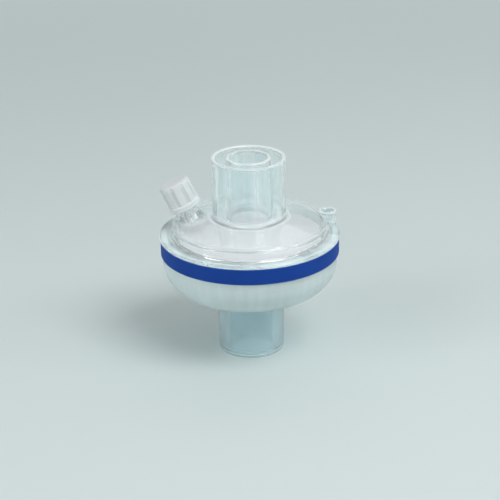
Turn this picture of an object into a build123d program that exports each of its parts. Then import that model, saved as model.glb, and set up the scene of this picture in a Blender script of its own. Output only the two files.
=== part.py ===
"""Heat and moisture exchanging breathing filter with coaxial conical connectors.

Millimetres, +Z up. The origin is the centre of the patient port's end face, on which
the filter stands. The machine port points up and the gas sampling port leans to -X.
"""

import os
from math import cos, radians, sin, sqrt

from build123d import *

os.makedirs("parts", exist_ok=True)

# Conical connectors: the diameter grows 1 mm in every 40 mm of length
cone_growth = 1 / 80
male_22_end_radius = 11.0
male_15_end_radius = 7.61
female_22_mouth_radius = 11.2
female_15_mouth_radius = 7.74
pilot_land = 1.5
end_bevel_width = 0.4
end_bevel_height = 0.8
gas_bore_radius = 6.5
socket_depth = 16.0
mouth_chamfer = 0.3

# Heights above the patient port's end face
port_length = 21.1
band_bottom = 35.2
band_height = 5.4
disc_height = 5.0
plate_rise = 2.3
machine_port_length = 20.4

# Patient side housing
bowl_radius = 29.3
bowl_wall = 1.5
bowl_corner_radius = 12.0
port_root_round = 1.0
support_rib_count = 12
support_rib_thickness = 1.0
support_rib_start = 9.0

# Machine side housing
cover_wall = 1.3
shelf_width = 4.4
disc_wall_draft = 0.15
disc_edge_round = 1.0
disc_foot_round = 1.2
machine_port_wall = 1.0
machine_port_draft = 0.2
machine_port_root_round = 0.7
flange_overhang = 0.3
flange_thickness = 1.2
flange_edge_round = 0.5
spigot_length = 1.9
spigot_thickness = 1.1

# Gas sampling port and its screw cap
luer_azimuth = 176.0
luer_tilt = 25.1
luer_inset = 6.4
luer_boss_radius = 3.6
luer_boss_height = 4.3
luer_flare_radius = 4.4
luer_flare_height = 1.8
luer_neck_radius = 3.3
luer_mouth_bore = 2.14
luer_bore_taper = 0.03
luer_bore_depth = 7.5
luer_duct_radius = 1.3
luer_lug_radius = 3.85
luer_lug_height = 1.1
luer_lug_angle = 70.0
luer_lug_drop = 0.5
luer_root_depth = 3.9
luer_gusset_reach = 5.4
luer_gusset_thickness = 1.0
luer_gusset_grip = 0.9
cap_radius = 5.32
cap_length = 9.5
cap_top_thickness = 1.2
cap_edge_round = 1.4
cap_collar_height = 1.7
cap_collar_step = 0.15
cap_flute_count = 9
cap_flute_start = 3.4
cap_flute_radius = 1.4
cap_flute_depth = 0.4
plug_length = 6.0
plug_bore_radius = 0.9

# Parking post for the cap, on the flange
post_azimuth = 14.0
post_radius = 2.8
post_bore_radius = 1.65
post_height = 4.7
post_floor = 0.4
post_web_width = 4.6
post_edge_inset = 0.15

# Heat and moisture exchanging roll, filter membrane and identification band
roll_side_gap = 2.3
roll_flute_count = 72
roll_flute_radius = 0.5
roll_turn_pitch = 1.9
roll_turn_gap = 0.5
roll_core_radius = 1.2
roll_plain_edge = 3.8
roll_groove_depth = 0.8
membrane_thickness = 1.6
band_thickness = 0.5

# Clearances between pieces
spigot_clearance = 0.1
band_clearance = 0.1
membrane_edge_clearance = 0.2
membrane_drop = 0.5
roll_top_clearance = 0.2
roll_corner_clearance = 0.6
cap_seat_clearance = 0.25
cap_skirt_clearance = 0.2
cap_bottom_clearance = 0.2
plug_clearance = 0.12

# Levels and radii that follow from the sizes above
rim_level = band_bottom + band_height
flange_top = rim_level + flange_thickness
disc_top = rim_level + disc_height
crest_level = disc_top + plate_rise
mouth_level = crest_level + machine_port_length
machine_port_radius = female_22_mouth_radius + machine_port_wall
machine_port_root_radius = machine_port_radius + machine_port_draft
bowl_inner_radius = bowl_radius - bowl_wall
bowl_floor = port_length + bowl_wall
bowl_inner_corner = bowl_corner_radius - bowl_wall
flange_radius = bowl_radius + band_clearance + band_thickness + flange_overhang
disc_radius = flange_radius - shelf_width
disc_inner_radius = disc_radius - cover_wall
membrane_top = rim_level - membrane_drop
membrane_bottom = membrane_top - membrane_thickness
spigot_outer_radius = bowl_inner_radius - spigot_clearance
spigot_inner_radius = spigot_outer_radius - spigot_thickness
spigot_end = rim_level - spigot_length
membrane_radius = spigot_inner_radius - membrane_edge_clearance
roll_radius = bowl_inner_radius - roll_side_gap
luer_distance = disc_radius - luer_inset
corner_reach = bowl_inner_corner - roll_side_gap
corner_rise = bowl_inner_corner - sqrt(bowl_inner_corner**2 - corner_reach**2)
roll_bottom = bowl_floor + corner_rise + roll_corner_clearance
roll_top = membrane_bottom - roll_top_clearance


def plate_level(distance):
    """Height of the plate's outer face at a distance from the main axis."""
    run = disc_radius - machine_port_root_radius
    return crest_level - plate_rise * (distance - machine_port_root_radius) / run


def section(points, rounds=()):
    """Closed half section in the sketch in hand, with a radius at some corners."""
    with BuildLine() as outline:
        Polyline(*points, close=True)
    face = make_face(outline.edges())
    for corner, radius in rounds:
        face = fillet(face.vertices().sort_by_distance(corner)[0], radius)


# Patient side housing: coaxial port, round bowl and the ribs that carry the roll
male_22_root_radius = male_22_end_radius + cone_growth * (
    port_length - end_bevel_height - pilot_land
)
female_15_end_radius = female_15_mouth_radius - cone_growth * (
    socket_depth - mouth_chamfer - pilot_land
)
middle_corner = (bowl_radius - bowl_wall / 2, port_length + bowl_wall / 2)

with BuildPart() as support_rib:
    with BuildSketch(Plane.XZ):
        section(
            [
                (support_rib_start, middle_corner[1]),
                middle_corner,
                (middle_corner[0], membrane_bottom),
                (roll_radius + roll_top_clearance, membrane_bottom),
                (roll_radius + roll_top_clearance, roll_bottom),
                (support_rib_start, roll_bottom),
            ],
            [(middle_corner, bowl_corner_radius - bowl_wall / 2)],
        )
    extrude(amount=support_rib_thickness / 2, both=True)

with BuildPart() as bottom_housing:
    with BuildSketch(Plane.XZ):
        section(
            [
                (female_15_mouth_radius + mouth_chamfer, 0),
                (male_22_end_radius - end_bevel_width, 0),
                (male_22_end_radius, end_bevel_height),
                (male_22_end_radius, end_bevel_height + pilot_land),
                (male_22_root_radius, port_length),
                (bowl_radius, port_length),
                (bowl_radius, rim_level),
                (bowl_inner_radius, rim_level),
                (bowl_inner_radius, bowl_floor),
                (gas_bore_radius, bowl_floor),
                (gas_bore_radius, socket_depth),
                (female_15_end_radius, socket_depth),
                (female_15_mouth_radius, mouth_chamfer + pilot_land),
                (female_15_mouth_radius, mouth_chamfer),
            ],
            [
                ((bowl_radius, port_length), bowl_corner_radius),
                ((bowl_inner_radius, bowl_floor), bowl_inner_corner),
                ((male_22_root_radius, port_length), port_root_round),
            ],
        )
    revolve(axis=Axis.Z)
    with PolarLocations(0, support_rib_count):
        add(support_rib.part)

# Machine side housing: one clear moulding with the coaxial port, the raised disc,
# the flange, the leaning sampling port and the parking post
male_15_root_radius = male_15_end_radius + cone_growth * (
    machine_port_length - end_bevel_height - pilot_land
)
female_22_floor_radius = female_22_mouth_radius - cone_growth * machine_port_length

luer_out = Vector(cos(radians(luer_azimuth)), sin(radians(luer_azimuth)), 0)
luer_up = luer_out * sin(radians(luer_tilt)) + Vector(0, 0, cos(radians(luer_tilt)))
luer_across = luer_out * cos(radians(luer_tilt)) - Vector(0, 0, sin(radians(luer_tilt)))
luer_foot = luer_out * luer_distance + Vector(0, 0, plate_level(luer_distance))
luer_end_plane = Plane(origin=luer_foot, x_dir=luer_across, z_dir=luer_up)
luer_section_plane = Plane(
    origin=luer_foot, x_dir=luer_across, z_dir=luer_across.cross(luer_up)
)
luer_side_plane = Plane(
    origin=(0, 0, 0), x_dir=luer_out, z_dir=luer_out.cross(Vector(0, 0, 1))
)
luer_axis = Axis(luer_foot, luer_up)
cap_bottom = luer_boss_height + cap_bottom_clearance
luer_length = cap_bottom + cap_length - cap_top_thickness - cap_seat_clearance


def luer_bore_radius(height):
    """Radius of the tapered socket at a height along the sampling port."""
    return luer_mouth_bore - luer_bore_taper * (luer_length - height)


post_distance = flange_radius - post_radius - post_edge_inset
post_centre = (
    post_distance * cos(radians(post_azimuth)),
    post_distance * sin(radians(post_azimuth)),
)
post_top = flange_top + post_height
gusset_foot = cover_wall / 2

with BuildPart() as top_housing:
    with BuildSketch(Plane.XZ):
        section(
            [
                (0, membrane_top),
                (membrane_radius, membrane_top),
                (membrane_radius, rim_level),
                (spigot_inner_radius, rim_level),
                (spigot_inner_radius, spigot_end),
                (spigot_outer_radius, spigot_end),
                (spigot_outer_radius, rim_level),
                (flange_radius, rim_level),
                (flange_radius, flange_top),
                (disc_radius + disc_wall_draft, flange_top),
                (disc_radius, disc_top),
                (machine_port_root_radius, crest_level),
                (machine_port_radius, mouth_level),
                (0, mouth_level),
            ],
            [
                ((flange_radius, rim_level), flange_edge_round),
                ((flange_radius, flange_top), flange_edge_round),
                ((disc_radius + disc_wall_draft, flange_top), disc_foot_round),
                ((disc_radius, disc_top), disc_edge_round),
                ((machine_port_root_radius, crest_level), machine_port_root_round),
            ],
        )
    revolve(axis=Axis.Z)

    # Sampling port: flared boss, neck, two locking lugs and two gussets on the disc
    with BuildSketch(luer_section_plane):
        section(
            [
                (0, -luer_root_depth),
                (luer_flare_radius, -luer_root_depth),
                (luer_flare_radius, 0),
                (luer_boss_radius, luer_flare_height),
                (luer_boss_radius, luer_boss_height),
                (luer_neck_radius, luer_boss_height),
                (luer_neck_radius, luer_length),
                (0, luer_length),
            ]
        )
    revolve(axis=luer_axis)
    with BuildSketch(luer_end_plane.offset(luer_length - luer_lug_drop)):
        with PolarLocations(0, 2):
            with BuildLine():
                lug_arc = CenterArc(
                    (0, 0), luer_lug_radius, -luer_lug_angle / 2, luer_lug_angle
                )
                Line((0, 0), lug_arc @ 0)
                Line((0, 0), lug_arc @ 1)
            make_face()
    extrude(amount=-luer_lug_height)
    with BuildSketch(luer_side_plane) as gussets:
        for side in (-1, 1):
            reach = luer_distance + side * luer_gusset_reach
            with BuildLine():
                Polyline(
                    (luer_distance, plate_level(luer_distance) - gusset_foot),
                    (reach, plate_level(reach) - gusset_foot),
                    luer_side_plane.to_local_coords(
                        luer_foot
                        + luer_up * luer_boss_height
                        + luer_across * side * luer_boss_radius * luer_gusset_grip
                    ),
                    close=True,
                )
            make_face()
    extrude(amount=luer_gusset_thickness / 2, both=True)

    # Parking post and the web that ties it to the disc
    with BuildSketch(Plane.XY.offset(rim_level + flange_edge_round)):
        with Locations(post_centre):
            Circle(post_radius)
    extrude(amount=flange_thickness + post_height - flange_edge_round)
    with BuildSketch(Plane.XY.offset(rim_level + flange_edge_round).rotated((0, 0, post_azimuth))):
        with Locations((post_distance / 2 + disc_inner_radius / 2, 0)):
            Rectangle(post_distance - disc_inner_radius, post_web_width)
    extrude(amount=disc_height - flange_edge_round - disc_edge_round / 2)
    with BuildSketch(Plane.XY.offset(post_top)):
        with Locations(post_centre):
            Circle(post_bore_radius)
    extrude(amount=-(post_height - post_floor), mode=Mode.SUBTRACT)

    # Annular 22 mm socket round the 15 mm cone, gas bore and the space under the disc
    with BuildSketch(Plane.XZ):
        section(
            [
                (male_15_root_radius, crest_level),
                (male_15_end_radius, mouth_level - end_bevel_height - pilot_land),
                (male_15_end_radius, mouth_level - end_bevel_height),
                (male_15_end_radius - end_bevel_width, mouth_level),
                (female_22_mouth_radius + mouth_chamfer, mouth_level),
                (female_22_mouth_radius, mouth_level - mouth_chamfer),
                (female_22_floor_radius, crest_level),
            ]
        )
    revolve(axis=Axis.Z, mode=Mode.SUBTRACT)
    with BuildSketch(Plane.XZ):
        section(
            [
                (0, membrane_top),
                (disc_inner_radius, membrane_top),
                (disc_inner_radius, plate_level(disc_inner_radius) - cover_wall),
                (machine_port_root_radius, crest_level - cover_wall),
                (gas_bore_radius, crest_level - cover_wall),
                (gas_bore_radius, mouth_level),
                (0, mouth_level),
            ],
            [
                (
                    (disc_inner_radius, plate_level(disc_inner_radius) - cover_wall),
                    disc_edge_round,
                ),
            ],
        )
    revolve(axis=Axis.Z, mode=Mode.SUBTRACT)

    # Tapered socket of the sampling port and its duct through the disc
    with BuildSketch(luer_section_plane):
        section(
            [
                (0, -luer_root_depth),
                (luer_duct_radius, -luer_root_depth),
                (luer_duct_radius, luer_length - luer_bore_depth),
                (
                    luer_bore_radius(luer_length - luer_bore_depth),
                    luer_length - luer_bore_depth,
                ),
                (luer_mouth_bore, luer_length),
                (0, luer_length),
            ]
        )
    revolve(axis=luer_axis, mode=Mode.SUBTRACT)

# Filter membrane, clamped at its edge between the two housings
with BuildPart() as filter_membrane:
    with BuildSketch(Plane.XY.offset(membrane_bottom)):
        Circle(membrane_radius)
    extrude(amount=membrane_thickness)

# Roll of corrugated paper: fluted edge, and one spiral gap in the face that shows
with BuildPart() as hme_roll:
    with BuildSketch(Plane.XY.offset(roll_bottom)):
        Circle(roll_radius)
        with PolarLocations(roll_radius, roll_flute_count):
            Circle(roll_flute_radius, mode=Mode.SUBTRACT)
    extrude(amount=roll_top - roll_bottom)
    with BuildSketch(Plane.XY.offset(roll_bottom)) as spiral:
        half_pitch = roll_turn_pitch / 2
        last_radius = roll_radius - roll_flute_radius - roll_plain_edge
        half_turns = 2 * int((last_radius - roll_core_radius) / roll_turn_pitch)
        with BuildLine():
            for half in range(half_turns):
                centre = (half_pitch * (half % 2), 0)
                turn_radius = roll_core_radius + half * half_pitch
                for side in (-1, 1):
                    CenterArc(
                        centre,
                        turn_radius + side * roll_turn_gap / 2,
                        180 * (half % 2),
                        180,
                    )
            start = roll_core_radius
            end = roll_core_radius + half_turns * half_pitch
            for radius in (start, end):
                Line((radius - roll_turn_gap / 2, 0), (radius + roll_turn_gap / 2, 0))
        make_face()
    extrude(amount=roll_groove_depth, mode=Mode.SUBTRACT)

# Identification band round the joint of the two housings
with BuildPart() as id_band:
    with BuildSketch(Plane.XY.offset(band_bottom)):
        Circle(bowl_radius + band_clearance + band_thickness)
        Circle(bowl_radius + band_clearance, mode=Mode.SUBTRACT)
    extrude(amount=band_height)

# Screw cap of the sampling port: fluted skirt, collar and the tapered sealing plug
cap_top = cap_bottom + cap_length
cap_roof = cap_top - cap_top_thickness
skirt_bore_radius = luer_lug_radius + cap_skirt_clearance
plug_tip = cap_roof - plug_length

with BuildPart() as luer_cap:
    with BuildSketch(luer_section_plane):
        section(
            [
                (plug_bore_radius, plug_tip),
                (luer_bore_radius(plug_tip) - plug_clearance, plug_tip),
                (luer_bore_radius(cap_roof) - plug_clearance, cap_roof),
                (skirt_bore_radius, cap_roof),
                (skirt_bore_radius, cap_bottom),
                (cap_radius + cap_collar_step, cap_bottom),
                (cap_radius + cap_collar_step, cap_bottom + cap_collar_height),
                (cap_radius, cap_bottom + cap_collar_height),
                (cap_radius, cap_top),
                (0, cap_top),
                (0, cap_roof),
                (plug_bore_radius, cap_roof),
            ],
            [((cap_radius, cap_top), cap_edge_round)],
        )
    revolve(axis=luer_axis)
    with BuildSketch(luer_end_plane.offset(cap_bottom + cap_collar_height)):
        with PolarLocations(
            cap_radius + cap_flute_radius - cap_flute_depth, cap_flute_count, cap_flute_start
        ):
            Circle(cap_flute_radius)
    extrude(amount=cap_length, mode=Mode.SUBTRACT)

pieces = {
    "bottom_housing": bottom_housing,
    "top_housing": top_housing,
    "filter_membrane": filter_membrane,
    "hme_roll": hme_roll,
    "id_band": id_band,
    "luer_cap": luer_cap,
}
for name, piece in pieces.items():
    piece.part.label = name
    export_step(piece.part, f"parts/{name}.step")
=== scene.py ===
from math import cos, pi, radians, sin

import bmesh
import bpy
from mathutils import Matrix, Vector, noise


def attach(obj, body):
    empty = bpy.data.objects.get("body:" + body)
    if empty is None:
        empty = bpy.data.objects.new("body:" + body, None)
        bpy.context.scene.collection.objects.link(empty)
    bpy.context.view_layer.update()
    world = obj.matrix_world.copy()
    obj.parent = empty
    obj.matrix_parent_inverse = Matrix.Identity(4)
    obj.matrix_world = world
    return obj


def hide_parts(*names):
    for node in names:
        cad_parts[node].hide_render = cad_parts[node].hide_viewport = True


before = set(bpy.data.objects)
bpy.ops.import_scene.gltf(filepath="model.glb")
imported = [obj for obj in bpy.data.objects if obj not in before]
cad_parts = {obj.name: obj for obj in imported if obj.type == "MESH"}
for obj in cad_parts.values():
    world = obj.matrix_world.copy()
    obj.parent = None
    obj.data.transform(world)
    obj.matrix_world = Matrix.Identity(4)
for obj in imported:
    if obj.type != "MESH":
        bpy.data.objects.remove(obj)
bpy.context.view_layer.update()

# Levels and radii of the filter in metres, as the CAD source has them in millimetres
mouth_level = 0.0683
crest_level = 0.0479
disc_top = 0.0456
disc_radius = 0.0258
flange_top = 0.0418
rim_level = 0.0406
port_length = 0.0211

# The identification band
band_bottom = 0.0352
band_inner_radius = 0.0294
band_outer_radius = 0.0299
band_edge_round = 0.00012
band_rows = 6

# The filter cloth: flat where it is clamped, a little lower and quilted inside that
membrane_bottom = 0.0385
membrane_top = 0.0401
membrane_radius = 0.0264
membrane_clamp_radius = 0.0245
membrane_edge_cut = 0.0001
membrane_sink = 0.00012
membrane_rings = 60
quilt_rise = 0.00016
quilt_places = ((260.0, 0.5), (900.0, 0.3))

# The paper roll: a fluted and a flat strip wound together
roll_bottom = 0.02716
roll_top = 0.0383
roll_radius = 0.0255
roll_core_radius = 0.0012
roll_turn_pitch = 0.0019
flute_length = 0.0022
flute_height = 0.00052
paper_thickness = 0.0001
fluted_columns = 4300
flat_columns = 1500

# The sampling port: its axis, two directions across it, a point in its foot and one higher
luer_axis = Vector((-0.42317, 0.02959, 0.90557))
luer_across = Vector((-cos(radians(4.0)), sin(radians(4.0)), 0.0))
luer_across = (luer_across - luer_axis * luer_across.dot(luer_axis)).normalized()
luer_side = luer_axis.cross(luer_across)
luer_foot = Vector((-0.019353, 0.001353, 0.046699))
luer_middle = (-0.0205, 0.0014, 0.0490)
luer_stripe_count = 20

# The screw cap, with its heights along the port's axis
cap_collar_top = 0.0062
cap_top = 0.0140
cap_flute_count = 9
cap_flute_start = radians(3.4)

# The parking post
post_top = 0.0465
post_centre = (0.02644, 0.00659, 0.0)
# Level above which the post's bore is darkened: painted shade down the hole
post_bore_radius = 0.00165
post_shade_level = 0.0438

# Places on the clear moulding: two radii, two levels and the width of the soft border
clear_places = {
    "plate": (0.0, disc_radius - 0.0012, disc_top - 0.0010, crest_level + 0.0004, 0.0002),
    "tube_foot": (0.0108, 0.0136, crest_level - 0.0004, crest_level + 0.0012, 0.0006),
    # The disc's top edge, made milky as a painted highlight
    "disc_edge_highlight": (disc_radius - 0.0010, 0.0270, disc_top - 0.0006, disc_top + 0.0004, 0.0002),
    "flange": (0.0264, 0.0310, rim_level - 0.0008, flange_top + 0.0001, 0.0004),
    "post_rim": (0.0244, 0.0320, post_top - 0.0003, post_top + 0.0010, 0.0002),
    "post_wall": (disc_radius + 0.0006, 0.0320, flange_top + 0.0010, post_top + 0.0010, 0.0002),
}

# The camera of the photograph, worked out from the rims of both ports
view_distance = 0.6
view_elevation = radians(22.41)
view_roll = radians(1.01)
view_lens = 128.6
film_width = 36.0

# Lamps: place, watts, and size of the rectangle
lamp_aim = (0.0, 0.0, 0.04)
lamps = {
    "key": ((0.38, -0.40, 0.80), 4.4, (0.5, 0.5)),
    "fill": ((-0.70, -0.45, 0.45), 1.3, (0.5, 0.5)),
    "strip_left": ((-0.52, -0.22, 0.22), 0.45, (0.05, 0.6)),
    "strip_right": ((0.55, -0.16, 0.22), 0.45, (0.05, 0.6)),
    "back": ((0.1, 0.7, 0.8), 1.0, (1.2, 0.6)),
}
floor_size = 3.0
floor_fades = (0.25, 0.85)
room_strength = 0.35


def linear(red, green, blue):
    """A colour written as the screen shows it, 0 to 255, as the shaders want it."""

    def channel(value):
        share = value / 255
        return share / 12.92 if share <= 0.04045 else ((share + 0.055) / 1.055) ** 2.4

    return (channel(red), channel(green), channel(blue), 1.0)


# Colours of the finishes, darker and lighter where a pattern mixes two
clear_tints = ((0.95, 0.975, 0.98, 1), (0.98, 0.995, 0.995, 1))
clear_milk = ((0.86, 0.94, 0.945, 1), (0.94, 0.985, 0.985, 1))
clear_shadow = (0.94, 0.96, 0.965, 1)
# Darker glass inside the post's bore: painted shade of a deep hole
post_bore_shade_tint = (0.50, 0.66, 0.69, 1)
# Darker lines in the tubes' glass: flow lines with painted reflections
tube_line_reflection_tint = (0.82, 0.91, 0.92, 1)
port_smoke = (0.52, 0.74, 0.81, 1)
bowl_smoke = (0.80, 0.91, 0.93, 1)
smoke_cloud = (0.90, 0.97, 0.98, 1)
frosted_milk = ((0.82, 0.92, 0.925, 1), (0.92, 0.975, 0.975, 1))
frosted_shadow = (0.92, 0.96, 0.97, 1)
felt_tints = ((0.60, 0.59, 0.605, 1), (0.73, 0.72, 0.735, 1))
paper_tints = ((0.82, 0.83, 0.80, 1), (0.95, 0.95, 0.92, 1))
ink_blues = (linear(12, 52, 140), linear(28, 80, 168))
ink_edge = linear(96, 130, 200)
carrier_tints = ((0.46, 0.51, 0.54, 1), (0.60, 0.65, 0.68, 1))
cap_whites = ((0.70, 0.74, 0.745, 1), (0.79, 0.82, 0.825, 1))
# Grey of the cap's grooves: painted shade in the recessed flutes
cap_groove_shade_grey = (0.47, 0.52, 0.53, 1)
# White of the collar's top edge: a painted highlight
cap_edge_highlight_white = (0.93, 0.95, 0.95, 1)
floor_tints = (linear(216, 229, 229), linear(222, 233, 232))
wall_colour = linear(196, 210, 210)

# Colours of the surroundings by height: as light on the filter, and as they are seen
room_stops = [
    (0.0, (0.30, 0.34, 0.35, 1)),
    (0.6, (0.72, 0.76, 0.77, 1)),
    (1.0, (0.95, 0.97, 0.97, 1)),
]
backdrop_stops = [
    (0.60, wall_colour),
    (0.72, (0.27, 0.31, 0.32, 1)),
    (1.0, (0.20, 0.23, 0.24, 1)),
]


class Term:
    """An output socket of a node tree; arithmetic on it adds Math nodes to that tree."""

    def __init__(self, home, socket):
        self.home = home
        self.socket = socket

    def __add__(self, other):
        return self.home.math("ADD", self, other)

    __radd__ = __add__

    def __mul__(self, other):
        return self.home.math("MULTIPLY", self, other)

    __rmul__ = __mul__

    def __sub__(self, other):
        return self.home.math("SUBTRACT", self, other)

    def __rsub__(self, other):
        return self.home.math("SUBTRACT", other, self)

    def __truediv__(self, other):
        return self.home.math("DIVIDE", self, other)

    def __pow__(self, other):
        return self.home.math("POWER", self, other)


class Tree:
    """A node tree that is filled by calls: node() adds any node, math() a Math node."""

    def __init__(self, graph):
        self.graph = graph

    def node(self, kind, settings=None, inputs=None, output=0):
        """A new node with its settings, then its values or links; returns one output."""
        made = self.graph.nodes.new(kind)
        for name, value in (settings or {}).items():
            if name == "stops":
                self.set_stops(made.color_ramp, value)
            else:
                setattr(made, name, value)
        for name, value in (inputs or {}).items():
            if isinstance(value, Term):
                self.graph.links.new(value.socket, made.inputs[name])
            else:
                made.inputs[name].default_value = value
        return Term(self, made.outputs[output]) if len(made.outputs) else None

    def set_stops(self, ramp, stops):
        while len(ramp.elements) < len(stops):
            ramp.elements.new(1.0)
        for element, (position, colour) in zip(ramp.elements, stops):
            element.position = position
            element.color = colour

    def math(self, operation, *values):
        return self.node("ShaderNodeMath", {"operation": operation}, dict(enumerate(values)))

    def vector(self, operation, *values, output=0):
        settings = {"operation": operation}
        return self.node("ShaderNodeVectorMath", settings, dict(enumerate(values)), output)

    def number(self, operation, *values):
        """Vector maths whose result is one number, such as a length."""
        return self.vector(operation, *values, output="Value")

    def parts(self, vector):
        """The x, y and z of a vector."""
        made = self.node("ShaderNodeSeparateXYZ", None, {0: vector})
        return [Term(self, made.socket.node.outputs[n]) for n in range(3)]

    def joined(self, x, y, z):
        return self.node("ShaderNodeCombineXYZ", None, {0: x, 1: y, 2: z})

    def step(self, value, low, high):
        """0 below low, 1 above high, and a smooth ramp between."""
        inputs = {"Value": value, "From Min": low, "From Max": high}
        settings = {"interpolation_type": "SMOOTHSTEP"}
        return self.node("ShaderNodeMapRange", settings, inputs)

    def between(self, value, low, high, soft):
        """1 from low to high, with a soft border outside them."""
        return self.step(value, low - soft, low) - self.step(value, high, high + soft)

    def seen_directly(self):
        """1 for what the camera sees, also in a reflection or through the plastic."""
        seen = self.node("ShaderNodeLightPath", output="Is Camera Ray")
        for ray in ("Is Glossy Ray", "Is Transmission Ray"):
            seen = self.math("MAXIMUM", seen, self.node("ShaderNodeLightPath", output=ray))
        return seen


class Finish(Tree):
    """One material, with the patterns that the finishes share."""

    def __init__(self, name):
        self.material = bpy.data.materials.new(name)
        self.material.use_nodes = True
        super().__init__(self.material.node_tree)
        self.graph.nodes.clear()
        self.place = self.node("ShaderNodeTexCoord", output="Object")
        self.x, self.y, self.z = self.parts(self.place)
        self.flat = self.joined(self.x, self.y, 0.0)
        self.reach = self.number("LENGTH", self.flat)

    def grain(self, scale, detail=2.0, rough=0.5, at=None):
        """Soft noise, about 0 to 1, whose marks are 1/scale metres across."""
        inputs = {"Vector": at or self.place, "Scale": scale, "Detail": detail, "Roughness": rough}
        return self.node("ShaderNodeTexNoise", None, inputs)

    def flow(self, scale, detail, along):
        """Noise drawn out along the axis and outwards from it, as the plastic flowed."""
        outward = self.vector("NORMALIZE", self.flat)
        level = self.joined(0.0, 0.0, self.z * along)
        return self.grain(scale, detail, 0.5, self.vector("ADD", outward, level))

    def ring(self, near, far, low, high, soft):
        """1 between two radii and two levels, with a soft border."""
        return self.between(self.reach, near, far, soft) * self.between(self.z, low, high, soft)

    def luer_turn(self, offset):
        """The angle round the sampling port's axis, of a place given from the axis."""
        side = self.number("DOT_PRODUCT", offset, luer_side)
        depth = self.number("DOT_PRODUCT", offset, luer_across)
        return self.math("ARCTAN2", side, depth)

    def tint(self, share, dark, light):
        inputs = {0: share, 6: dark, 7: light}
        return self.node("ShaderNodeMix", {"data_type": "RGBA"}, inputs, output=2)

    def bump(self, height, strength, distance, under=None):
        inputs = {"Height": height, "Strength": strength, "Distance": distance}
        if under:
            inputs["Normal"] = under
        return self.node("ShaderNodeBump", None, inputs)

    def surface(self, sockets):
        return self.node("ShaderNodeBsdfPrincipled", None, sockets)

    def mixed(self, share, first, second):
        return self.node("ShaderNodeMixShader", None, {0: share, 1: first, 2: second})

    def see_through(self, haze, glass, milk, shadow):
        """Glass that turns milky with haze, and lets lamps light what is inside it."""
        body = self.mixed(haze, glass, milk)
        to_lamp = self.node("ShaderNodeLightPath", output="Is Shadow Ray")
        passed = self.node("ShaderNodeBsdfTransparent", None, {"Color": shadow})
        return self.mixed(to_lamp, body, passed)

    def done(self, shader):
        self.node("ShaderNodeOutputMaterial", None, {"Surface": shader})
        return self.material


def clear_plastic():
    """Clear moulded plastic: faint flow lines with painted reflections, bright satin rims, a
    little haze, painted glints, a painted highlight on the disc's edge and painted shade in the
    post's bore.
    """
    f = Finish("clear_plastic")
    flow = f.flow(6.0, 1.0, 1.0)
    # Streaks of haze and darker lines: flow lines of the moulding, with painted reflections
    streak_and_reflection = f.step(f.flow(2.6, 2.0, 2.0), 0.40, 0.62)
    fine_streak_and_reflection = f.step(f.flow(5.0, 1.0, 0.3), 0.48, 0.68)
    tube_line_and_reflection = f.step(f.flow(3.4, 1.0, 0.3), 0.40, 0.64)
    cloud = f.grain(90.0, 2.0)
    # Tiny milky specks that stand for painted glints
    painted_glints = f.step(f.grain(900.0, 1.0), 0.68, 0.78)
    tube = f.step(f.z, crest_level + 0.001, crest_level + 0.006)
    lip = f.step(f.z, mouth_level - 0.0014, mouth_level)
    rim = f.step(f.z, mouth_level - 0.0005, mouth_level - 0.0001)
    place = {name: f.ring(*sizes) for name, sizes in clear_places.items()}
    from_post = f.number("DISTANCE", f.flat, post_centre)
    outside_bore = f.step(from_post, post_bore_radius + 0.00003, post_bore_radius + 0.00009)
    # Painted shade: the glass inside the post's bore is tinted darker
    post_bore_shade = f.step(f.z, post_shade_level, post_shade_level + 0.0004) * (1.0 - outside_bore)
    post_edge = f.step(from_post, 0.0021, 0.0025)
    luer_stripe, luer_port = luer_stripes(f)
    slant = f.node("ShaderNodeLayerWeight", None, {"Blend": 0.5}, output="Facing")
    haze = (
        0.02
        + tube * (0.05 + streak_and_reflection * 0.10 + fine_streak_and_reflection * 0.12)
        + lip * 0.20
        + rim * 0.85
        + place["tube_foot"] * 0.28
        # Milky line along the disc's top edge: a painted highlight
        + place["disc_edge_highlight"] * 0.20
        + place["flange"] * (0.17 + streak_and_reflection * 0.20)
        + place["post_rim"] * (0.30 + post_edge * 0.60)
        + place["post_wall"] * 0.12
        + luer_port * (0.05 + luer_stripe * 0.20)
        + painted_glints * 0.06
        + slant**3 * 0.25
        + slant**8 * 0.55
    )
    normal = f.bump(flow * tube * 0.3 + cloud * place["plate"] * 0.25, 0.10, 0.0003)
    # Clouded glass tint, with the painted shade of the post's bore
    tone = f.tint(post_bore_shade, f.tint(cloud, *clear_tints), post_bore_shade_tint)
    glass = {
        "Base Color": f.tint(tube_line_and_reflection * tube * 0.8, tone, tube_line_reflection_tint),
        "Roughness": 0.02 + cloud * 0.05 + rim * 0.25 + luer_port * 0.08,
        "IOR": 1.57,
        "Transmission Weight": 1.0,
        "Normal": normal,
    }
    milk = {"Base Color": f.tint(flow, *clear_milk), "Roughness": 0.35, "Normal": normal}
    return f.done(f.see_through(haze, f.surface(glass), f.surface(milk), clear_shadow))


def luer_stripes(f):
    """Fine stripes down the sampling port's foot, and the mask of the port itself."""
    port = 1.0 - f.step(f.number("DISTANCE", f.place, luer_middle), 0.0045, 0.0080)
    turn = f.luer_turn(f.vector("SUBTRACT", f.place, luer_middle))
    return f.step(f.math("SINE", turn * luer_stripe_count), -0.2, 0.6), port


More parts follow.
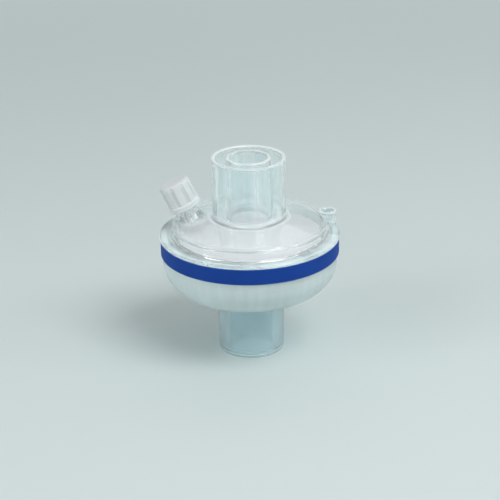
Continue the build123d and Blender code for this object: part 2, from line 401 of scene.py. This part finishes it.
def frosted_plastic():
    """Milky see-through plastic of the patient side: the paper inside shows as faint bars."""
    f = Finish("frosted_plastic")
    flow = f.flow(14.0, 2.0, 4.0)
    cloud = f.grain(70.0, 3.0)
    skin = f.grain(2200.0, 2.0)
    bowl = f.step(f.z, port_length - 0.001, port_length + 0.004)
    welded = f.step(f.z, rim_level - 0.0016, rim_level - 0.0010)
    bevel_line = f.between(f.z, 0.0011, 0.0013, 0.0002)
    end_line = 1.0 - f.step(f.z, 0.0001, 0.0004)
    haze = (
        0.14
        + (bowl - welded) * 0.30
        + flow * 0.05
        + cloud * 0.05
        + bevel_line * 0.35
        + end_line * 0.50
    )
    normal = f.bump(flow, 0.03, 0.0002, f.bump(skin, 0.12, 0.00004))
    smoke = f.tint(bowl, port_smoke, bowl_smoke)
    glass = {
        "Base Color": f.tint(cloud * 0.5, smoke, smoke_cloud),
        "Roughness": 0.20 + cloud * 0.10,
        "IOR": 1.40,
        "Transmission Weight": 1.0,
        "Normal": normal,
    }
    milk = {"Base Color": f.tint(flow, *frosted_milk), "Roughness": 0.42, "Normal": normal}
    return f.done(f.see_through(haze, f.surface(glass), f.surface(milk), frosted_shadow))


def membrane_felt():
    """White non-woven filter cloth: crossed fine fibres, tiny bright points."""
    f = Finish("membrane_felt")
    one_way = f.grain(2600.0, 2.0, 0.6, f.vector("MULTIPLY", f.place, (1.0, 0.16, 1.0)))
    other_way = f.grain(2600.0, 2.0, 0.6, f.vector("MULTIPLY", f.place, (0.18, 1.0, 1.0)))
    cloud = f.grain(160.0, 3.0)
    fibre = f.math("MAXIMUM", one_way, other_way)
    glint = f.step(f.grain(3300.0, 1.0), 0.70, 0.80)
    felt = {
        "Base Color": f.tint(fibre * 0.6 + cloud * 0.4, *felt_tints),
        "Roughness": 0.85 - glint * 0.45,
        "Sheen Weight": 0.25,
        "Sheen Roughness": 0.5,
        "Normal": f.bump(fibre, 0.6, 0.0001, f.bump(cloud, 0.3, 0.0005)),
    }
    return f.done(f.surface(felt))


def roll_paper():
    """Absorbent off-white paper of the moisture roll."""
    f = Finish("roll_paper")
    pulp = f.grain(1500.0, 4.0, 0.6)
    cloud = f.grain(120.0, 2.0)
    paper = {
        "Base Color": f.tint(pulp * 0.5 + cloud * 0.5, *paper_tints),
        "Roughness": 0.75 + pulp * 0.2,
        "Normal": f.bump(pulp, 0.4, 0.00008),
    }
    return f.done(f.surface(paper))


def band_ink():
    """Royal blue film of the identification band, satin, a little paler along its edges."""
    f = Finish("band_ink")
    cloud = f.grain(60.0, 3.0)
    dots = f.grain(3000.0, 1.0)
    middle = (band_bottom + rim_level) / 2
    edge = f.step(f.math("ABSOLUTE", f.z - middle), 0.0023, 0.0027)
    blue = f.tint(cloud * 0.7 + dots * 0.3, *ink_blues)
    film = {
        "Base Color": f.tint(edge * 0.35, blue, ink_edge),
        "Roughness": 0.56 + dots * 0.12,
        "Specular IOR Level": 0.15,
        "Normal": f.bump(dots * 0.4 + cloud * 0.6, 0.10, 0.0001),
    }
    return f.done(f.surface(film))


def film_edge_white():
    """Unprinted white carrier of the band: its cut edges and its back."""
    f = Finish("film_edge_white")
    cloud = f.grain(400.0, 2.0)
    carrier = {"Base Color": f.tint(cloud, *carrier_tints), "Roughness": 0.5 + cloud * 0.2}
    return f.done(f.surface(carrier))


def cap_plastic():
    """Opaque white moulded plastic, with painted shade down its grooves and a painted highlight
    along the top of its collar.
    """
    f = Finish("cap_plastic")
    skin = f.grain(2400.0, 3.0, 0.6)
    cloud = f.grain(180.0, 2.0)
    offset = f.vector("SUBTRACT", f.place, luer_foot)
    up = f.number("DOT_PRODUCT", offset, luer_axis)
    turn = f.luer_turn(offset) - cap_flute_start
    # Painted shade: the cap's grooves are darkened where the flutes sink in
    groove_shade = f.step(f.math("COSINE", turn * cap_flute_count), 0.0, 0.8)
    groove_shade = groove_shade * (1.0 - f.step(up, cap_top - 0.0024, cap_top - 0.0012))
    groove_shade = groove_shade * f.step(up, cap_collar_top, cap_collar_top + 0.0004)
    # Painted highlight: a pale line along the top edge of the collar
    collar_highlight = f.step(up, cap_collar_top - 0.0004, cap_collar_top - 0.0001)
    collar_highlight = collar_highlight - f.step(up, cap_collar_top + 0.0001, cap_collar_top + 0.0003)
    colour = f.tint(groove_shade * 0.40, f.tint(cloud, *cap_whites), cap_groove_shade_grey)
    white = {
        "Base Color": f.tint(collar_highlight * 0.8, colour, cap_edge_highlight_white),
        "Roughness": 0.30 + skin * 0.16,
        "Subsurface Weight": 0.08,
        "Subsurface Radius": (0.001, 0.001, 0.001),
        "Normal": f.bump(skin, 0.22, 0.00005),
    }
    return f.done(f.surface(white))


def floor_paper():
    """Pale floor that far off fades into the wall's colour, where it is seen."""
    f = Finish("floor_paper")
    tone = f.tint(f.grain(4.0, 2.0), *floor_tints)
    paper = f.surface({"Base Color": tone, "Roughness": 0.9})
    glow = f.node("ShaderNodeEmission", None, {"Color": wall_colour, "Strength": 1.0})
    far = f.step(f.reach, *floor_fades) * f.seen_directly()
    return f.done(f.mixed(far, paper, glow))


def paper_winding_tree():
    """Geometry nodes for one strip of paper wound on itself, flat or with flutes."""
    group = bpy.data.node_groups.new("paper_winding", "GeometryNodeTree")
    wanted = {
        "Core Radius": "NodeSocketFloat",
        "Outer Radius": "NodeSocketFloat",
        "Turn Pitch": "NodeSocketFloat",
        "Flute Length": "NodeSocketFloat",
        "Flute Height": "NodeSocketFloat",
        "Shift": "NodeSocketFloat",
        "Bottom": "NodeSocketFloat",
        "Top": "NodeSocketFloat",
        "Paper Thickness": "NodeSocketFloat",
        "Columns": "NodeSocketInt",
        "Finish": "NodeSocketMaterial",
    }
    for name, kind in wanted.items():
        group.interface.new_socket(name, in_out="INPUT", socket_type=kind)
    group.interface.new_socket("Geometry", in_out="OUTPUT", socket_type="NodeSocketGeometry")
    t = Tree(group)
    ends = t.node("NodeGroupInput").socket.node
    given = {name: Term(t, ends.outputs[name]) for name in wanted}
    grid = {"Size X": 1.0, "Size Y": 1.0, "Vertices X": given["Columns"], "Vertices Y": 2}
    strip = t.node("GeometryNodeMeshGrid", None, grid)
    across, up, _ = t.parts(t.node("GeometryNodeInputPosition"))
    core = given["Core Radius"]
    pitch = given["Turn Pitch"]
    length = (given["Outer Radius"] * given["Outer Radius"] - core * core) * pi / pitch
    run = (across + 0.5) * length
    radius = t.math("SQRT", core * core + run * pitch / pi)
    turn = (radius - core) * (2 * pi) / pitch
    wave = t.math("SINE", run * (2 * pi) / given["Flute Length"]) * given["Flute Height"]
    reach = radius + wave + given["Shift"]
    level = given["Bottom"] + (up + 0.5) * (given["Top"] - given["Bottom"])
    spot = t.joined(reach * t.math("COSINE", turn), reach * t.math("SINE", turn), level)
    wound = t.node("GeometryNodeSetPosition", None, {"Geometry": strip, "Position": spot})
    inputs = {"Mesh": wound, "Offset Scale": given["Paper Thickness"], "Individual": False}
    front = t.node("GeometryNodeExtrudeMesh", None, inputs)
    back = t.node("GeometryNodeFlipFaces", None, {"Mesh": wound})
    both = t.node("GeometryNodeJoinGeometry", None, {"Geometry": back})
    group.links.new(front.socket, both.socket.node.inputs["Geometry"])
    inputs = {"Geometry": both, "Distance": 0.000002}
    closed = t.node("GeometryNodeMergeByDistance", None, inputs)
    real = t.node("GeometryNodeRealizeInstances", None, {"Geometry": closed})
    inputs = {"Geometry": real, "Material": given["Finish"]}
    painted = t.node("GeometryNodeSetMaterial", None, inputs)
    t.node("NodeGroupOutput", None, {"Geometry": painted})
    return group


def placed(name, mesh):
    """An object at the origin, with its place in its mesh."""
    mesh.name = name
    piece = bpy.data.objects.new(name, mesh)
    bpy.context.scene.collection.objects.link(piece)
    return piece


def grown(name, tree, values):
    """The mesh that a geometry node tree makes with these values, as a plain object."""
    seed = placed(name + "_seed", bpy.data.meshes.new(name + "_seed"))
    modifier = seed.modifiers.new(name, "NODES")
    modifier.node_group = tree
    for item in tree.interface.items_tree:
        if item.in_out == "INPUT" and item.name in values:
            modifier[item.identifier] = values[item.name]
    graph = bpy.context.evaluated_depsgraph_get()
    mesh = bpy.data.meshes.new_from_object(seed.evaluated_get(graph))
    seed.modifiers.remove(modifier)
    bpy.data.objects.remove(seed)
    return placed(name, mesh)


def joined_meshes(name, first, second):
    """One object from two, with the second's mesh added to the first's."""
    mesh = bmesh.new()
    mesh.from_mesh(first.data)
    mesh.from_mesh(second.data)
    whole = bpy.data.meshes.new(name)
    mesh.to_mesh(whole)
    mesh.free()
    for material in first.data.materials:
        whole.materials.append(material)
    for spent in (first, second):
        bpy.data.objects.remove(spent)
    return placed(name, whole)


def make_roll(finish):
    """Fluted and flat paper wound together, with the flutes outside as the bowl shows them."""
    tree = paper_winding_tree()
    values = {
        "Core Radius": roll_core_radius,
        "Outer Radius": roll_radius - flute_height - paper_thickness,
        "Turn Pitch": roll_turn_pitch,
        "Flute Length": flute_length,
        "Flute Height": flute_height,
        "Shift": 0.0,
        "Bottom": roll_bottom,
        "Top": roll_top,
        "Paper Thickness": paper_thickness,
        "Columns": fluted_columns,
        "Finish": finish,
    }
    fluted = grown("fluted_strip", tree, values)
    values["Flute Height"] = 0.0
    values["Shift"] = -roll_turn_pitch / 2
    values["Core Radius"] = roll_core_radius + roll_turn_pitch / 2
    values["Columns"] = flat_columns
    flat = grown("flat_strip", tree, values)
    roll = joined_meshes("corrugated_roll", fluted, flat)
    for face in roll.data.polygons:
        face.use_smooth = True
    return roll


def lathe(name, outline, steps, lift=None):
    """Closed ring of an outline of (radius, level) points; lift moves points by place."""
    mesh = bmesh.new()
    rings = []
    for step in range(steps):
        turn = 2 * pi * step / steps
        ring = []
        for radius, level in outline:
            shift = lift(radius, level, turn) if lift else 0.0
            point = (radius * cos(turn), radius * sin(turn), level + shift)
            ring.append(mesh.verts.new(point))
        rings.append(ring)
    count = len(outline)
    for here, there in zip(rings, rings[1:] + rings[:1]):
        for n in range(count):
            corners = [here[n], there[n], there[(n + 1) % count], here[(n + 1) % count]]
            mesh.faces.new(corners)
    bmesh.ops.remove_doubles(mesh, verts=mesh.verts, dist=0.000001)
    bmesh.ops.dissolve_degenerate(mesh, edges=mesh.edges, dist=0.000001)
    bmesh.ops.recalc_face_normals(mesh, faces=mesh.faces)
    data = bpy.data.meshes.new(name)
    mesh.to_mesh(data)
    mesh.free()
    return placed(name, data)


def make_band(print_side, film_edge):
    """The band as a film with soft edges, blue on its outer face alone."""
    soft = band_edge_round
    inner, outer = band_inner_radius, band_outer_radius
    low, high = band_bottom, rim_level
    outline = [
        (inner, low + soft),
        (inner + soft, low),
        (outer - soft, low),
        (outer - soft * 0.3, low + soft * 0.3),
        (outer, low + soft),
    ]
    outline += [(outer, low + (high - low) * n / band_rows) for n in range(1, band_rows)]
    outline += [
        (outer, high - soft),
        (outer - soft * 0.3, high - soft * 0.3),
        (outer - soft, high),
        (inner + soft, high),
        (inner, high - soft),
    ]
    band = lathe("blue_film_band", outline, 180)
    band.data.materials.append(print_side)
    band.data.materials.append(film_edge)
    for face in band.data.polygons:
        outward = Vector((face.center.x, face.center.y, 0.0)).normalized()
        face.material_index = 0 if face.normal.dot(outward) > 0.5 else 1
        face.use_smooth = True
    return band


def make_membrane(finish):
    """Filter cloth: flat at its clamped edge, a little lower and slightly quilted inside."""

    def lift(radius, level, turn):
        if level < membrane_top - 0.0002 or radius > membrane_clamp_radius:
            return 0.0
        spot = Vector((radius * cos(turn), radius * sin(turn), 0.0))
        rise = sum(noise.noise(spot * scale) * share for scale, share in quilt_places)
        return quilt_rise * rise - membrane_sink

    top, radius = membrane_top, membrane_radius
    outline = [
        (0.0, membrane_bottom),
        (radius, membrane_bottom),
        (radius, top - membrane_edge_cut),
        (radius - membrane_edge_cut, top),
    ]
    rings = membrane_rings
    outline += [(membrane_clamp_radius * (rings - n) / rings, top) for n in range(rings)]
    outline += [(0.0, top - membrane_sink)]
    cloth = lathe("filter_cloth", outline, 180, lift)
    cloth.data.materials.append(finish)
    for face in cloth.data.polygons:
        face.use_smooth = abs(face.normal.z) > 0.3
    return cloth


def repaint(node, material):
    """Gives a CAD piece its finish and leaves its mesh alone."""
    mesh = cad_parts[node].data
    for number in range(len(mesh.materials)):
        mesh.materials[number] = material


def make_floor():
    ground = bmesh.new()
    bmesh.ops.create_grid(ground, x_segments=1, y_segments=1, size=floor_size)
    data = bpy.data.meshes.new("floor")
    ground.to_mesh(data)
    ground.free()
    floor = placed("floor", data)
    data.materials.append(floor_paper())


def make_world():
    """Even pale surroundings, with a backdrop of their own where they are seen."""
    world = bpy.data.worlds.new("studio")
    world.use_nodes = True
    bpy.context.scene.world = world
    w = Tree(world.node_tree)
    w.graph.nodes.clear()
    _, _, high = w.parts(w.node("ShaderNodeTexCoord", output="Generated"))
    height = high * 0.5 + 0.5
    room = w.node("ShaderNodeValToRGB", {"stops": room_stops}, {0: height})
    backdrop = w.node("ShaderNodeValToRGB", {"stops": backdrop_stops}, {0: height})
    room = w.node("ShaderNodeBackground", None, {"Color": room, "Strength": room_strength})
    backdrop = w.node("ShaderNodeBackground", None, {"Color": backdrop, "Strength": 1.0})
    both = w.node("ShaderNodeMixShader", None, {0: w.seen_directly(), 1: room, 2: backdrop})
    w.node("ShaderNodeOutputWorld", None, {"Surface": both})


def make_lamps():
    for name, (place, power, size) in lamps.items():
        data = bpy.data.lights.new(name, "AREA")
        data.energy = power
        data.shape = "RECTANGLE"
        data.size, data.size_y = size
        made = bpy.data.objects.new(name, data)
        made.location = place
        towards = Vector(lamp_aim) - Vector(place)
        made.rotation_euler = towards.to_track_quat("-Z", "Y").to_euler()
        bpy.context.scene.collection.objects.link(made)


def make_camera():
    """The camera of the photograph, aimed at the foot of the band and rolled a little."""
    target = Vector((0.0, 0.0, band_bottom))
    back = Vector((0.0, -cos(view_elevation), sin(view_elevation)))
    right = Vector((1.0, 0.0, 0.0))
    up = Vector((0.0, sin(view_elevation), cos(view_elevation)))
    turned_right = right * cos(view_roll) - up * sin(view_roll)
    turned_up = right * sin(view_roll) + up * cos(view_roll)
    data = bpy.data.cameras.new("camera")
    data.lens = view_lens
    data.sensor_width = film_width
    data.clip_start = 0.01
    data.clip_end = 20.0
    camera = bpy.data.objects.new("camera", data)
    axes = Matrix((turned_right, turned_up, back)).transposed().to_4x4()
    camera.matrix_world = Matrix.Translation(target + back * view_distance) @ axes
    bpy.context.scene.collection.objects.link(camera)
    bpy.context.scene.camera = camera


make_camera()
make_floor()
make_world()
make_lamps()

repaint("top_housing", clear_plastic())
repaint("bottom_housing", frosted_plastic())
repaint("luer_cap", cap_plastic())

for piece, node, slot in (
    (make_roll(roll_paper()), "hme_roll", "corrugated_paper"),
    (make_membrane(membrane_felt()), "filter_membrane", "membrane"),
    (make_band(band_ink(), film_edge_white()), "id_band", "blue_band"),
):
    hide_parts(node)
    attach(piece, "filter_body")

bpy.context.scene.view_settings.view_transform = "Standard"
